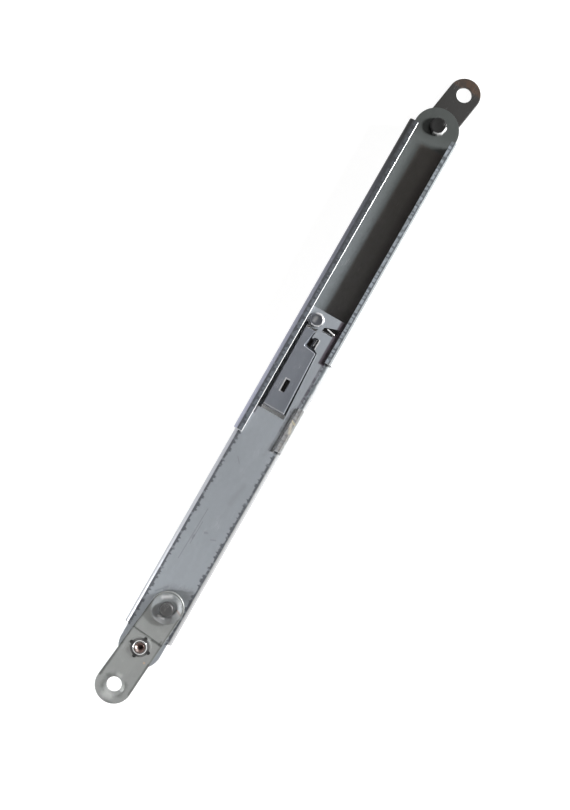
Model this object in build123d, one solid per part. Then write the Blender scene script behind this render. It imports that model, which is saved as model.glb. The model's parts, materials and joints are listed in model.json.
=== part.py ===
from build123d import *
from math import acos, atan2, cos, degrees, hypot, pi, radians, sin, sqrt
import os

# A telescopic window support arm in millimetres, +Z away from the surface it is screwed to.
# It is drawn with X along the arm, the centreline at Y 0, the frame pivot at X 0 and the back of the
# outer channel at Z 0. At the end all of it is moved so that the origin is the centre of the frame link's
# fixing hole, on the face that seats on the window frame. Every piece stands where the photograph shows it.

# Sheet stock
channel_sheet = 0.8
link_sheet = 1.6
lever_sheet = 1.0
channel_bend = 1.7
sheared_edge = 0.2

# Clearances
slide_side_gap = 0.1
slide_lift_gap = 0.1
running_gap = 0.05
axial_gap = 0.05
swing_gap = 0.15

# Outer channel: a back, two walls and two lips turned in over the inner arm
outer_width = 25.0
outer_depth = 7.4
lip_width = 4.2
outer_length = 155.8
pivot_to_outer_walls = 4.8
outer_end_radius = 10.4
outer_end_inset = 1.8
notch_from_mouth = 21.3
notch_length = 22.8

# Inner arm: a channel turned over, its back just under the lips
inner_length = 160.7
pictured_overlap = 63.5
inner_walls_to_stud = 6.4
inner_end_radius = 9.8

# Travel from the pictured place
extension_left = 2.0
engage_swing = 1.1
release_swing = 2.6

# The form of every button head: the share of its height that is a straight rim, and its crown's bands
head_rim_share = 0.25
crown_bands = 3

# Frame link and its pivot
frame_link_pitch = 19.2
frame_link_width = 14.8
frame_link_turn = 9.2
frame_hole_radius = 3.5
frame_shank_radius = 2.4
frame_head_radius = 4.0
frame_head_top_radius = 3.0
frame_head_height = 1.9
frame_sink_radius = 3.6
frame_washer_radius = 6.2
frame_washer_sheet = 0.5

# Sash link and its pivot
sash_link_pitch = 20.0
sash_tail_pitch = 20.8
sash_link_turn = 5.2
sash_hole_end_radius = 8.3
sash_tail_radius = 7.4
sash_hole_radius = 3.35
sash_sink_radius = 5.1
sash_sink_depth = 0.8
sash_joggle = 0.5
sash_joggle_start = 5.9
stud_shank_radius = 2.5
stud_neck_radius = 1.6
stud_foot_radius = 4.2
stud_foot_height = 1.0
stud_dome_radius = 2.3
stud_dome_top_radius = 0.8
stud_dome_height = 1.1
collar_radius = 3.2
collar_sheet = 0.5
bush_radius = 4.3
bush_cap_height = 0.3
bush_lug_radius = 0.9
bush_lug_count = 4
coined_rim_width = 0.7
coined_rim_height = 0.2

# Friction fittings on the sash link's tail
tail_shank_radius = 1.8
tail_sink_radius = 2.6
tail_sink_depth = 0.7
tail_head_radius = 3.2
tail_head_top_radius = 2.4
tail_head_height = 2.4
dish_radius = 6.8
dish_seat_radius = 3.6
dish_sheet = 0.5
dish_rise = 1.0
pad_radius = 5.8
pad_bore_radius = 2.8

# Latch lever, measured from its pivot
latch_pivot_inset = 4.7
latch_pivot_offset = 3.9
latch_shank_radius = 1.6
latch_head_radius = 3.3
latch_head_top_radius = 2.4
latch_head_height = 1.3
latch_foot_radius = 2.5
latch_foot_height = 0.5
latch_eye_radius = 4.1
latch_sleeve_radius = 2.6
spacer_radius = 3.8
spacer_height = 1.1
lever_reach = 46.4
lever_edge = 17.2
lever_wrist = 12.6
lever_wrist_drop = 2.5
lever_neck_low = 1.5
press_pad_corners = [(-43.5, 2.45), (-43.5, -8.0), (-13.1, -6.8), (-12.4, -0.7), (-4.7, -2.0), (-4.7, 2.9)]
press_pad_sunk = 0.2
press_pad_edge = 0.45
tool_slot_length = 5.7
tool_slot_width = 2.1
tool_slot_corner = 0.5
tool_slot_at = (-32.0, -2.2)
tooth_length = 7.4
tooth_at = -31.7
tooth_corner = 0.5
tooth_slot_room = 1.15
latch_window_end = 2.6
latch_window_left_gap = 1.9
latch_window_web = 3.9
latch_window_corner = 0.4
latch_window_near = -2.45
hook_window_corners = [(-7.3, -5.3), (-7.0, -4.0), (-7.3, -2.9), (-9.6, -1.6)]
hook_relief_corners = [(-11.7, -1.2), (-11.7, -3.2), (-9.3, -3.2), (-8.2, -2.9), (-8.4, -1.8)]

# Stop tabs pressed out of the two channels
inner_tab_width = 4.6
inner_tab_at = -3.35
inner_tab_clear = 0.5
inner_tab_drop = 4.4
inner_tab_short_drop = 2.3
tab_window_corners = [(-1.2, -4.5), (0.9, -10.9), (-1.7, -10.9), (-3.35, -9.7), (-3.35, -4.1)]
outer_tab_height = 2.4

# Latch spring
spring_wire = 0.55
spring_wire_sides = 8
spring_coil_radius = 3.2
spring_gap = 0.45
spring_bend_radius = 0.8
spring_hole_radius = 0.6
spring_hook_at = (-10.7, -4.2)
spring_hook_end = (-7.6, -4.5)
spring_tail_at = (-2.2, -10.05)
spring_tail_end = (-1.3, -6.0)
gap_points = 400

# Places worked out from the sizes above
TOUCH = 1e-3
PAST = 1.0
FULL_TURN = 360
QUARTER_TURN = 90
mouth_x = -pivot_to_outer_walls - outer_length
outer_wall_end_x = -pivot_to_outer_walls
inner_width = outer_width - 2 * (channel_sheet + slide_side_gap)
inner_top = outer_depth - channel_sheet - slide_lift_gap
inner_bottom = channel_bend + slide_lift_gap
inside_low = channel_sheet + slide_lift_gap
inner_web_back = inner_top - channel_sheet
inner_end_x = mouth_x + pictured_overlap
inner_tail_x = inner_end_x - inner_length
stud_x = inner_tail_x - inner_walls_to_stud
lip_opening = outer_width - 2 * lip_width

link_low = -axial_gap - frame_washer_sheet - link_sheet
sash_link_low = inner_top + axial_gap
bush_top = sash_link_low + link_sheet + bush_cap_height
collar_low = bush_top + axial_gap
tail_top = sash_link_low + link_sheet + sash_joggle

lever_top = inner_web_back - spacer_height
lever_low = lever_top - lever_sheet
press_pad_top = inner_top - press_pad_sunk
latch_pivot = (inner_end_x - latch_pivot_inset, latch_pivot_offset)
latch_foot_top = inside_low + latch_foot_height
tooth_tip = -(outer_width / 2 - channel_sheet - running_gap) - latch_pivot_offset
stop_y = latch_pivot_offset - latch_eye_radius - inner_tab_clear - inner_tab_width / 2


def swung(point, angle):
    """A point of the lever after the lever turns about its pivot."""
    turn = radians(angle)
    x, y = point
    return (x * cos(turn) - y * sin(turn), x * sin(turn) + y * cos(turn))


def slab(outline, low, high):
    """A flat outline made solid between two heights."""
    return extrude(Pos(0, 0, low) * outline, high - low, dir=(0, 0, 1))


def disc(radius, low, high, bore=0.0):
    """A round piece on the Z axis, with a bore if one is given."""
    ring = Circle(radius) - Circle(bore) if bore else Circle(radius)
    return slab(ring, low, high)


def turned(points):
    """A solid of revolution from (radius, height) points."""
    outline = make_face(Polyline(*[(r, 0, z) for r, z in points], close=True))
    return revolve(outline, Axis.Z, FULL_TURN)


def button_head(base_radius, top_radius, height, low):
    """A rivet head: a straight rim, a crown in bands that follow a quarter ellipse, and a flat top."""
    rim_height = height * head_rim_share
    points = [(0, low), (base_radius, low)]
    for band in range(crown_bands + 1):
        angle = pi / 2 * band / crown_bands
        radius = top_radius + (base_radius - top_radius) * cos(angle)
        points.append((radius, low + rim_height + (height - rim_height) * sin(angle)))
    return turned(points + [(0, low + height)])


def outer_section():
    """The outer channel's cross-section: back, folds, walls and lips."""
    outside = RectangleRounded(outer_width, outer_depth, channel_bend)
    hollow = RectangleRounded(
        outer_width - 2 * channel_sheet, outer_depth - 2 * channel_sheet, channel_bend - channel_sheet
    )
    mouth = Pos(0, outer_depth / 2) * Rectangle(lip_opening, 2 * (channel_sheet + PAST))
    section = outside - hollow - mouth
    lip_ends = [v for v in section.vertices() if abs(abs(v.X) - lip_opening / 2) < TOUCH]
    section = fillet(lip_ends, sheared_edge)
    return Plane.YZ * (Pos(0, outer_depth / 2) * section)


def inner_section():
    """The inner arm's cross-section: a back with a wall folded down each side."""
    height = inner_top - inner_bottom
    outside = RectangleRounded(inner_width, 2 * height, channel_bend)
    hollow = RectangleRounded(
        inner_width - 2 * channel_sheet, 2 * (height - channel_sheet), channel_bend - channel_sheet
    )
    upper_half = Pos(0, height / 2) * Rectangle(inner_width, height)
    return Plane.YZ * (Pos(0, inner_bottom) * ((outside - hollow) & upper_half))


def tongue(wall_end_x, end_x, radius):
    """The flat outline past a channel's walls, with an end that is round about a point near its pivot."""
    length = abs(wall_end_x - end_x) + PAST
    toward_walls = 1 if wall_end_x > end_x else -1
    straight = Pos(end_x + toward_walls * length / 2, 0) * Rectangle(length, 2 * radius)
    return straight + Pos(end_x, 0) * Circle(radius)


def latch_notch():
    """The space cut from the lower wall and its lip, which the latch tooth drops into."""
    middle = mouth_x + notch_from_mouth + notch_length / 2
    wall = Box(notch_length, 2 * channel_bend, outer_depth + 2 * PAST)
    lip = Box(notch_length, 2 * (lip_width + swing_gap), 2 * (channel_sheet + swing_gap))
    outside_y = -outer_width / 2
    return Pos(middle, outside_y, outer_depth / 2) * wall + Pos(middle, outside_y, outer_depth) * lip


def outer_channel():
    """The lipped channel, with its round end, pivot hole, latch notch and end stop."""
    body = Pos(mouth_x, 0, 0) * extrude(outer_section(), outer_length, dir=(1, 0, 0))
    body += slab(tongue(outer_wall_end_x, -outer_end_inset, outer_end_radius), 0, channel_sheet)
    body -= disc(frame_shank_radius + running_gap, -PAST, channel_sheet + PAST)
    body -= latch_notch()
    stop_x = latch_pivot[0] + inner_tab_at - channel_sheet - extension_left - axial_gap
    opening = Pos(stop_x + outer_tab_height / 2, stop_y) * Rectangle(outer_tab_height, inner_tab_width)
    tab = Pos(stop_x - channel_sheet / 2, stop_y) * Rectangle(channel_sheet, inner_tab_width)
    body -= slab(opening, -PAST, channel_sheet + PAST)
    return body + slab(tab, 0, channel_sheet + outer_tab_height)


def window_corners():
    """The latch window's corners, from the press pad's swing each way."""
    far_top, far_low, near_low, wrist = press_pad_corners[:4]
    top = swung(far_top, -release_swing)[1] + swing_gap + press_pad_edge
    left = far_top[0] - latch_window_left_gap
    low_left = swung(far_low, engage_swing)[1] - swing_gap
    low_right = swung(near_low, engage_swing)[1] - swing_gap
    wrist_right = wrist[0] + swing_gap + press_pad_edge
    near = -latch_window_end
    return [
        (left, top),
        (left, low_left),
        (near_low[0] + swing_gap, low_right),
        (wrist_right, hook_window_corners[0][1]),
        *hook_window_corners,
        (near, latch_window_near),
        (near, top),
    ]


def latch_window():
    """The window over the lever's press pad, with room for the pad to swing."""
    outline = make_face(Polyline(*window_corners(), close=True))
    outline = fillet(outline.vertices(), latch_window_corner)
    return Pos(*latch_pivot) * (outline - Circle(latch_window_web))


def inner_arm():
    """The sliding channel, with its round end, latch window, tooth slot and stop tab."""
    body = Pos(inner_tail_x, 0, 0) * extrude(inner_section(), inner_length, dir=(1, 0, 0))
    body += slab(tongue(inner_tail_x, stud_x, inner_end_radius), inner_web_back, inner_top)
    body -= Pos(stud_x, 0, 0) * disc(stud_shank_radius, inner_web_back - PAST, inner_top + PAST)
    body -= slab(latch_window(), inner_web_back - TOUCH, inner_top + PAST)
    body -= Pos(*latch_pivot, 0) * disc(latch_shank_radius, inner_web_back - PAST, inner_top + PAST)
    slot_length = tooth_length + 2 * tooth_slot_room
    slot = Box(slot_length, 2 * (channel_sheet + swing_gap), lever_sheet + 2 * swing_gap)
    body -= Pos(latch_pivot[0] + tooth_at, -inner_width / 2, lever_low + lever_sheet / 2) * slot
    opening = make_face(Polyline(*tab_window_corners, close=True))
    opening = Pos(*latch_pivot) * fillet(opening.vertices(), latch_window_corner)
    body -= slab(opening, inner_web_back - TOUCH, inner_top + PAST)
    return body + inner_tab()


def inner_tab():
    """The stop tab bent down at the opening's straight side, as long as the opening is at each place."""
    far_y, near_y = stop_y - inner_tab_width / 2, stop_y + inner_tab_width / 2
    corners = [(near_y, inner_top), (far_y, inner_top), (far_y, inner_top - inner_tab_drop)]
    corners.append((near_y, inner_top - inner_tab_short_drop))
    face = make_face(Polyline(*[(0, y, z) for y, z in corners], close=True))
    return Pos(latch_pivot[0] + inner_tab_at - channel_sheet, 0) * extrude(face, channel_sheet, dir=(1, 0, 0))


def lever_outline():
    """The lever's flat plate: an eye on the pivot, a neck, a wide hand and a tooth."""
    far_top = press_pad_corners[0][1]
    near_top = press_pad_corners[-1][1]
    low = -lever_edge + latch_pivot_offset
    neck_end = spring_hook_at[0] + 2 * spring_hole_radius
    neck_low = spring_hook_at[1] - 2 * spring_hole_radius
    plate = make_face(
        Polyline(
            (-lever_reach, far_top),
            (-lever_reach, low),
            (tooth_at + tooth_length, low),
            (-lever_wrist, neck_low - lever_wrist_drop),
            (neck_end, neck_low),
            (0, -lever_neck_low),
            (0, near_top),
            close=True,
        )
    )
    plate = fillet(plate.vertices(), tooth_corner)
    tooth = Pos(tooth_at, tooth_tip / 2) * RectangleRounded(tooth_length, -tooth_tip, tooth_corner)
    return plate + Circle(latch_eye_radius) + tooth


def latch_lever():
    """The latch lever, with its press pad drawn up through the window."""
    pad = make_face(Polyline(*press_pad_corners, close=True))
    pad = fillet(pad.vertices(), press_pad_edge)
    raised = slab(pad, lever_low, press_pad_top)
    raised = fillet(raised.edges().group_by(Axis.Z)[-1], press_pad_edge)
    hollow = slab(offset(pad, -lever_sheet, kind=Kind.INTERSECTION), lever_low, press_pad_top - lever_sheet)
    slot = Pos(*tool_slot_at) * RectangleRounded(tool_slot_length, tool_slot_width, tool_slot_corner)
    body = slab(lever_outline(), lever_low, lever_top) + raised - hollow
    body -= slab(slot, lever_low, press_pad_top + PAST)
    body -= disc(latch_shank_radius + running_gap, lever_low, lever_top)
    body -= Pos(*spring_hook_at, 0) * disc(spring_hole_radius, lever_low, lever_top)
    relief = make_face(Polyline(*hook_relief_corners, close=True))
    body -= slab(relief, lever_low, lever_top)
    return Pos(*latch_pivot, 0) * body


def latch_rivet():
    """The rivet that the lever turns on, headed over the sleeve inside."""
    shank = disc(latch_shank_radius, latch_foot_top, inner_top)
    foot = disc(latch_foot_radius, inside_low, latch_foot_top)
    head = button_head(latch_head_radius, latch_head_top_radius, latch_head_height, inner_top)
    return Pos(*latch_pivot, 0) * (shank + foot + head)


def latch_spacer():
    """The washer that holds the lever off the inner arm's back."""
    low = lever_top + axial_gap
    return Pos(*latch_pivot, 0) * disc(spacer_radius, low, inner_web_back, latch_shank_radius)


def latch_sleeve():
    """The sleeve under the lever, inside the spring's coil."""
    high = lever_low - axial_gap
    return Pos(*latch_pivot, 0) * disc(latch_sleeve_radius, latch_foot_top, high, latch_shank_radius)


def biarc(start, start_way, end, end_way):
    """Two arcs tangent to each other, from one point and direction to another."""
    across = end - start
    both = start_way + end_way
    spread = 2 * (1 - start_way.dot(end_way))
    along = across.dot(both)
    square = across.dot(across)
    if spread < TOUCH**2:
        reach = square / (2 * along)
    else:
        reach = (sqrt(along * along + spread * square) - along) / spread
    first = start + start_way * reach
    last = end - end_way * reach
    middle = (first + last) / 2
    joint_way = (last - first).normalized()
    return [
        Edge.make_tangent_arc(start, start_way, middle),
        Edge.make_tangent_arc(middle, joint_way, end),
    ]


def coil_edges(start_angle, end_angle, low, high):
    """The coil, clockwise from its lower end to its upper end, in steps of about a quarter turn."""
    steps = max(2, round((start_angle - end_angle) / QUARTER_TURN))
    slope = (high - low) / (radians(start_angle - end_angle) * spring_coil_radius)
    points, ways = [], []
    for step in range(steps + 1):
        share = step / steps
        angle = radians(start_angle + (end_angle - start_angle) * share)
        x, y = spring_coil_radius * cos(angle), spring_coil_radius * sin(angle)
        points.append(Vector(x, y, low + (high - low) * share))
        rise = 0 if step in (0, steps) else slope
        ways.append(Vector(sin(angle), -cos(angle), rise).normalized())
    edges = []
    for step in range(steps):
        edges += biarc(points[step], ways[step], points[step + 1], ways[step + 1])
    return edges


def leg_angle(point, side):
    """The angle on the coil where a straight leg to a point touches it, on one side or the other."""
    return degrees(atan2(point[1], point[0]) + side * acos(spring_coil_radius / hypot(*point)))


def upright_end(place, end, low, high):
    """An end of the wire: up from its leg's height, then bent over toward another place."""
    start, corner = Vector(*place, low), Vector(*place, high)
    over = (Vector(*end, high) - corner).normalized() * spring_bend_radius
    up = Vector(0, 0, spring_bend_radius)
    return [
        Edge.make_line(start + up, corner - up),
        Edge.make_tangent_arc(corner - up, up, corner + over),
        Edge.make_line(corner + over, Vector(*end, high)),
    ]


def turned_round(edges):
    """The same stretch of wire, run the other way."""
    return [edge.reversed() for edge in reversed(edges)]


def latch_spring_path():
    """The hairpin spring's centreline: a bent over end, a leg, the coil, a leg and a bent over end."""
    wire = spring_wire / 2
    high = lever_low - axial_gap - wire
    start_angle = leg_angle(spring_tail_at, -1) + 2 * FULL_TURN
    end_angle = leg_angle(spring_hook_at, 1)
    low = high - (spring_wire + spring_gap) * (start_angle - end_angle) / FULL_TURN
    up = Vector(0, 0, spring_bend_radius)
    tail, hook = Vector(*spring_tail_at, low), Vector(*spring_hook_at, high)
    meet = Vector(spring_coil_radius, 0, low).rotate(Axis.Z, start_angle)
    leave = Vector(spring_coil_radius, 0, high).rotate(Axis.Z, end_angle)
    tail_way, hook_way = (meet - tail).normalized(), (hook - leave).normalized()
    tail_bend, hook_bend = tail + tail_way * spring_bend_radius, hook - hook_way * spring_bend_radius
    edges = turned_round(upright_end(spring_tail_at, spring_tail_end, low, inner_top - wire))
    edges += [Edge.make_tangent_arc(tail + up, -up, tail_bend), Edge.make_line(tail_bend, meet)]
    edges += coil_edges(start_angle, end_angle, low, high)
    edges += [Edge.make_line(leave, hook_bend), Edge.make_tangent_arc(hook_bend, hook_way, hook + up)]
    edges += upright_end(spring_hook_at, spring_hook_end, high, lever_top + axial_gap + wire)
    return Wire(edges)


def least_gap(path, wire):
    """The least gap between stretches of the wire that aren't neighbours, measured on points."""
    points = [path.position_at(i / gap_points) for i in range(gap_points + 1)]
    apart = int(pi * spring_coil_radius * gap_points / path.length)
    pairs = [(a, b) for i, a in enumerate(points) for b in points[i + apart :]]
    return min((a - b).length for a, b in pairs) - wire


def latch_spring():
    """The hairpin spring as one unbroken wire."""
    path = latch_spring_path()
    print("latch spring: wire", spring_wire, "length", round(path.length, 2))
    print("latch spring: least gap to itself", round(least_gap(path, spring_wire), 3))
    wire = RegularPolygon(spring_wire / 2, spring_wire_sides)
    body = sweep(Plane(origin=path.position_at(0), z_dir=path.tangent_at(0)) * wire, path=path)
    print("latch spring: volume", round(body.volume, 3), "of", round(path.length * wire.area, 3))
    return Pos(*latch_pivot, 0) * body


def frame_link():
    """The flat link that is screwed to the window frame."""
    blank = Pos(frame_link_pitch / 2, 0) * SlotCenterToCenter(frame_link_pitch, frame_link_width)
    body = slab(blank, link_low, link_low + link_sheet)
    body = chamfer(body.edges().group_by(Axis.Z)[-1], sheared_edge)
    body -= Pos(frame_link_pitch, 0, 0) * disc(frame_hole_radius, link_low, link_low + link_sheet)
    body -= frame_rivet_end()
    return Rot(0, 0, -frame_link_turn) * body


def frame_rivet_end():
    """The rivet's shank and the flared end that fills the link's countersink."""
    flare = frame_sink_radius - frame_shank_radius
    return turned(
        [
            (0, link_low),
            (frame_sink_radius, link_low),
            (frame_shank_radius, link_low + flare),
            (frame_shank_radius, channel_sheet + axial_gap),
            (0, channel_sheet + axial_gap),
        ]
    )


def frame_pivot_rivet():
    """The rivet that the arm swings on at the frame end, flush under the link."""
    head = button_head(frame_head_radius, frame_head_top_radius, frame_head_height, channel_sheet + axial_gap)
    return frame_rivet_end() + head


def frame_pivot_washer():
    """The washer between the frame link and the outer channel."""
    low = link_low + link_sheet
    return disc(frame_washer_radius, low, low + frame_washer_sheet, frame_shank_radius)


def sash_link_outline():
    """The sash link from above: two round ends joined by straight tapering sides."""
    hole_end = Pos(-sash_link_pitch, 0) * Circle(sash_hole_end_radius)
    tail_end = Pos(sash_tail_pitch, 0) * Circle(sash_tail_radius)
    return make_hull(hole_end.edges() + tail_end.edges())


def sash_link_side():
    """The sash link from the side: flat over the pivot, stepped up to its tail."""
    left = -sash_link_pitch - sash_hole_end_radius - PAST
    right = sash_tail_pitch + sash_tail_radius + PAST
    step_end = sash_joggle_start + sash_joggle
    lower = [(left, 0), (sash_joggle_start, 0), (step_end, sash_joggle), (right, sash_joggle)]
    upper = [(x, z + link_sheet) for x, z in reversed(lower)]
    face = make_face(Polyline(*[(x, 0, sash_link_low + z) for x, z in lower + upper], close=True))
    return extrude(face, max(sash_hole_end_radius, sash_tail_radius) + PAST, dir=(0, 1, 0), both=True)


def sash_link():
    """The stepped link that is screwed to the sash."""
    outline = slab(sash_link_outline(), sash_link_low, tail_top)
    body = outline & sash_link_side()
    top = sash_link_low + link_sheet
    rim_radius = bush_radius + coined_rim_width
    body += disc(rim_radius, top - coined_rim_height, top + coined_rim_height)
    body = chamfer(body.edges().group_by(Axis.Z)[-1], sheared_edge)
    body -= disc(bush_radius, sash_link_low - PAST, top + PAST)
    sink_low = top - sash_sink_depth
    sink = turned([(0, sink_low), (sash_hole_radius, sink_low), (sash_sink_radius, top), (0, top)])
    hole = disc(sash_hole_radius, sash_link_low - PAST, top)
    body -= Pos(-sash_link_pitch, 0, 0) * (sink + hole)
    body -= Pos(sash_tail_pitch, 0, 0) * tail_rivet_end()
    return placed_on_stud(body)


def placed_on_stud(piece):
    """Turns a piece of the sash link to its pictured angle and sets it on the stud."""
    return Pos(stud_x, 0, 0) * (Rot(0, 0, -sash_link_turn) * piece)


def sash_pivot_stud():
    """The polished stud: a foot inside the arm, a bearing shank and a domed end over the collar."""
    foot_low = inner_web_back - stud_foot_height
    neck_top = collar_low + collar_sheet
    foot = disc(stud_foot_radius, foot_low, inner_web_back)
    shank = disc(stud_shank_radius, inner_web_back, collar_low)
    neck = disc(stud_neck_radius, collar_low, neck_top)
    dome = button_head(stud_dome_radius, stud_dome_top_radius, stud_dome_height, neck_top)
    return Pos(stud_x, 0, 0) * (foot + shank + neck + dome)


def sash_pivot_collar():
    """The bright washer under the stud's domed end."""
    ring = disc(collar_radius, collar_low, collar_low + collar_sheet, stud_neck_radius)
    ring = chamfer(ring.edges().group_by(Axis.Z)[-1].sort_by(SortBy.LENGTH)[-1], sheared_edge)
    return Pos(stud_x, 0, 0) * ring


def sash_pivot_bush():
    """The black bush fixed in the sash link, with lugs that lap over the link's coined rim."""
    top = sash_link_low + link_sheet + coined_rim_height
    bore = stud_shank_radius + running_gap
    barrel = disc(bush_radius, sash_link_low, bush_top, bore)
    lug = Pos(bush_radius, 0, 0) * disc(bush_lug_radius, top, bush_top)
    lugs = [Rot(0, 0, FULL_TURN * n / bush_lug_count) * lug for n in range(bush_lug_count)]
    return placed_on_stud(barrel + lugs)


def tail_rivet_end():
    """The tail rivet's shank and the flared end flush in the link's underside."""
    low = sash_link_low + sash_joggle
    return turned(
        [
            (0, low),
            (tail_sink_radius, low),
            (tail_shank_radius, low + tail_sink_depth),
            (tail_shank_radius, tail_top + dish_sheet),
            (0, tail_top + dish_sheet),
        ]
    )


def tail_rivet():
    """The tall button rivet that clamps the dished washer."""
    head = button_head(tail_head_radius, tail_head_top_radius, tail_head_height, tail_top + dish_sheet)
    return placed_on_stud(Pos(sash_tail_pitch, 0, 0) * (tail_rivet_end() + head))


def tail_dish_washer():
    """The dished spring washer, hollow side up, with a flat seat for the rivet."""
    low = tail_top
    body = turned(
        [
            (tail_shank_radius, low),
            (dish_seat_radius, low),
            (dish_radius, low + dish_rise),
            (dish_radius, low + dish_rise + dish_sheet),
            (dish_seat_radius, low + dish_sheet),
            (tail_shank_radius, low + dish_sheet),
        ]
    )
    return placed_on_stud(Pos(sash_tail_pitch, 0, 0) * body)


def tail_pad():
    """The thin friction pad under the tail, which rubs on the inner arm's back."""
    ring = disc(pad_radius, sash_link_low, sash_link_low + sash_joggle, pad_bore_radius)
    return placed_on_stud(Pos(sash_tail_pitch, 0, 0) * ring)


def to_fixing_hole():
    """The move that puts the origin at the frame link's fixing hole, on its seat."""
    turn = radians(frame_link_turn)
    return Pos(-frame_link_pitch * cos(turn), frame_link_pitch * sin(turn), -link_low)


pieces = {
    "frame_link": frame_link,
    "frame_pivot_rivet": frame_pivot_rivet,
    "frame_pivot_washer": frame_pivot_washer,
    "outer_channel": outer_channel,
    "inner_arm": inner_arm,
    "latch_lever": latch_lever,
    "latch_pivot_rivet": latch_rivet,
    "latch_spacer": latch_spacer,
    "latch_sleeve": latch_sleeve,
    "latch_spring": latch_spring,
    "sash_link": sash_link,
    "sash_pivot_stud": sash_pivot_stud,
    "sash_pivot_collar": sash_pivot_collar,
    "sash_pivot_bush": sash_pivot_bush,
    "tail_rivet": tail_rivet,
    "tail_dish_washer": tail_dish_washer,
    "tail_pad": tail_pad,
}

os.makedirs("parts", exist_ok=True)
move = to_fixing_hole()
for name, make in pieces.items():
    export_step(move * make(), f"parts/{name}.step")

frame_pivot = move * Pos(0, 0, 0)
stud = move * Pos(stud_x, 0, 0)
latch = move * Pos(*latch_pivot, 0)
print("frame pivot", frame_pivot.position)
print("sash pivot", stud.position)
print("latch pivot", latch.position)
sash_hole = move * placed_on_stud(Pos(-sash_link_pitch, 0, sash_link_low))
print("sash fixing hole on its seat", sash_hole.position)
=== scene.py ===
"""A telescopic window support arm, dressed piece by piece for its portrait.

Lengths are in metres, but those of rivets and of rows of marks in millimetres. The arm lies along X, its
frame link at +X and its sash link at -X, and the open side of the outer channel faces +Z.
"""
import json
import logging
from collections.abc import Callable, Sequence
from dataclasses import dataclass, field
from enum import Enum
from functools import cache
from math import acos, atan2, cos, hypot, pi, radians, sin, tau
from typing import Self

import bpy
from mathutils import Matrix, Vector


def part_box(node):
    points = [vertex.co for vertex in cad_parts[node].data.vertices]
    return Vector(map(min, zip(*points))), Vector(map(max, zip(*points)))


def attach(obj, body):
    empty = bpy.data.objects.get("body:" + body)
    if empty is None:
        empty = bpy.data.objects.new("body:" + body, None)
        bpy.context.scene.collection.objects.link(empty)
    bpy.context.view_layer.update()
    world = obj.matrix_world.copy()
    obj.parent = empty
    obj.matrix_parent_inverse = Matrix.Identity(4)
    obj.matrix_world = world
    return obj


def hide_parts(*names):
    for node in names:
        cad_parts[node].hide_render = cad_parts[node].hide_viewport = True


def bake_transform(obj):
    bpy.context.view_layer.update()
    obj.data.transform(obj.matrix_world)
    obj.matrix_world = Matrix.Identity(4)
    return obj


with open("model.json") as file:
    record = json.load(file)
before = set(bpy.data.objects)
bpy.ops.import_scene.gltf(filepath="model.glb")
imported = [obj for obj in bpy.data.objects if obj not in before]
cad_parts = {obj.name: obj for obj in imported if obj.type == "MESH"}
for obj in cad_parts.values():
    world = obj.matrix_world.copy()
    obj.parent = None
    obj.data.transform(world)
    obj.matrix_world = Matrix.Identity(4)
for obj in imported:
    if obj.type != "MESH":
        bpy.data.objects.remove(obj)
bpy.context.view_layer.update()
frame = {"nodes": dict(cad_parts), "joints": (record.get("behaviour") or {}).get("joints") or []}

log = logging.getLogger("window_support_arm")

MM = 0.001
MICRON = 1e-6
Colour = tuple[float, float, float]
Feed = float | tuple | bpy.types.NodeSocket
Socket = bpy.types.NodeSocket
Sockets = bpy.types.NodeInputs
Piece = bpy.types.Object
Pair = tuple[float, float]
Profile = Sequence[Pair]
Row = tuple[float, ...]
FAR = 1000.0
SCRATCH_WIDTH = 0.02
SHINE_WIDTH = 0.12 * MM
BEND_STEPS = 6
VECTORS = ("Vector", "Centre", "Start", "End")


def shares(steps: int) -> list[float]:
    """Even shares from 0 to 1."""
    return [step / steps for step in range(steps + 1)]


def grey(level: float, warm: float = 0.0) -> Colour:
    """A grey of one level, turned a little to warm, or to cold where warm is below 0."""
    return (level * (1 + warm), level, level * (1 - warm))


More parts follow.
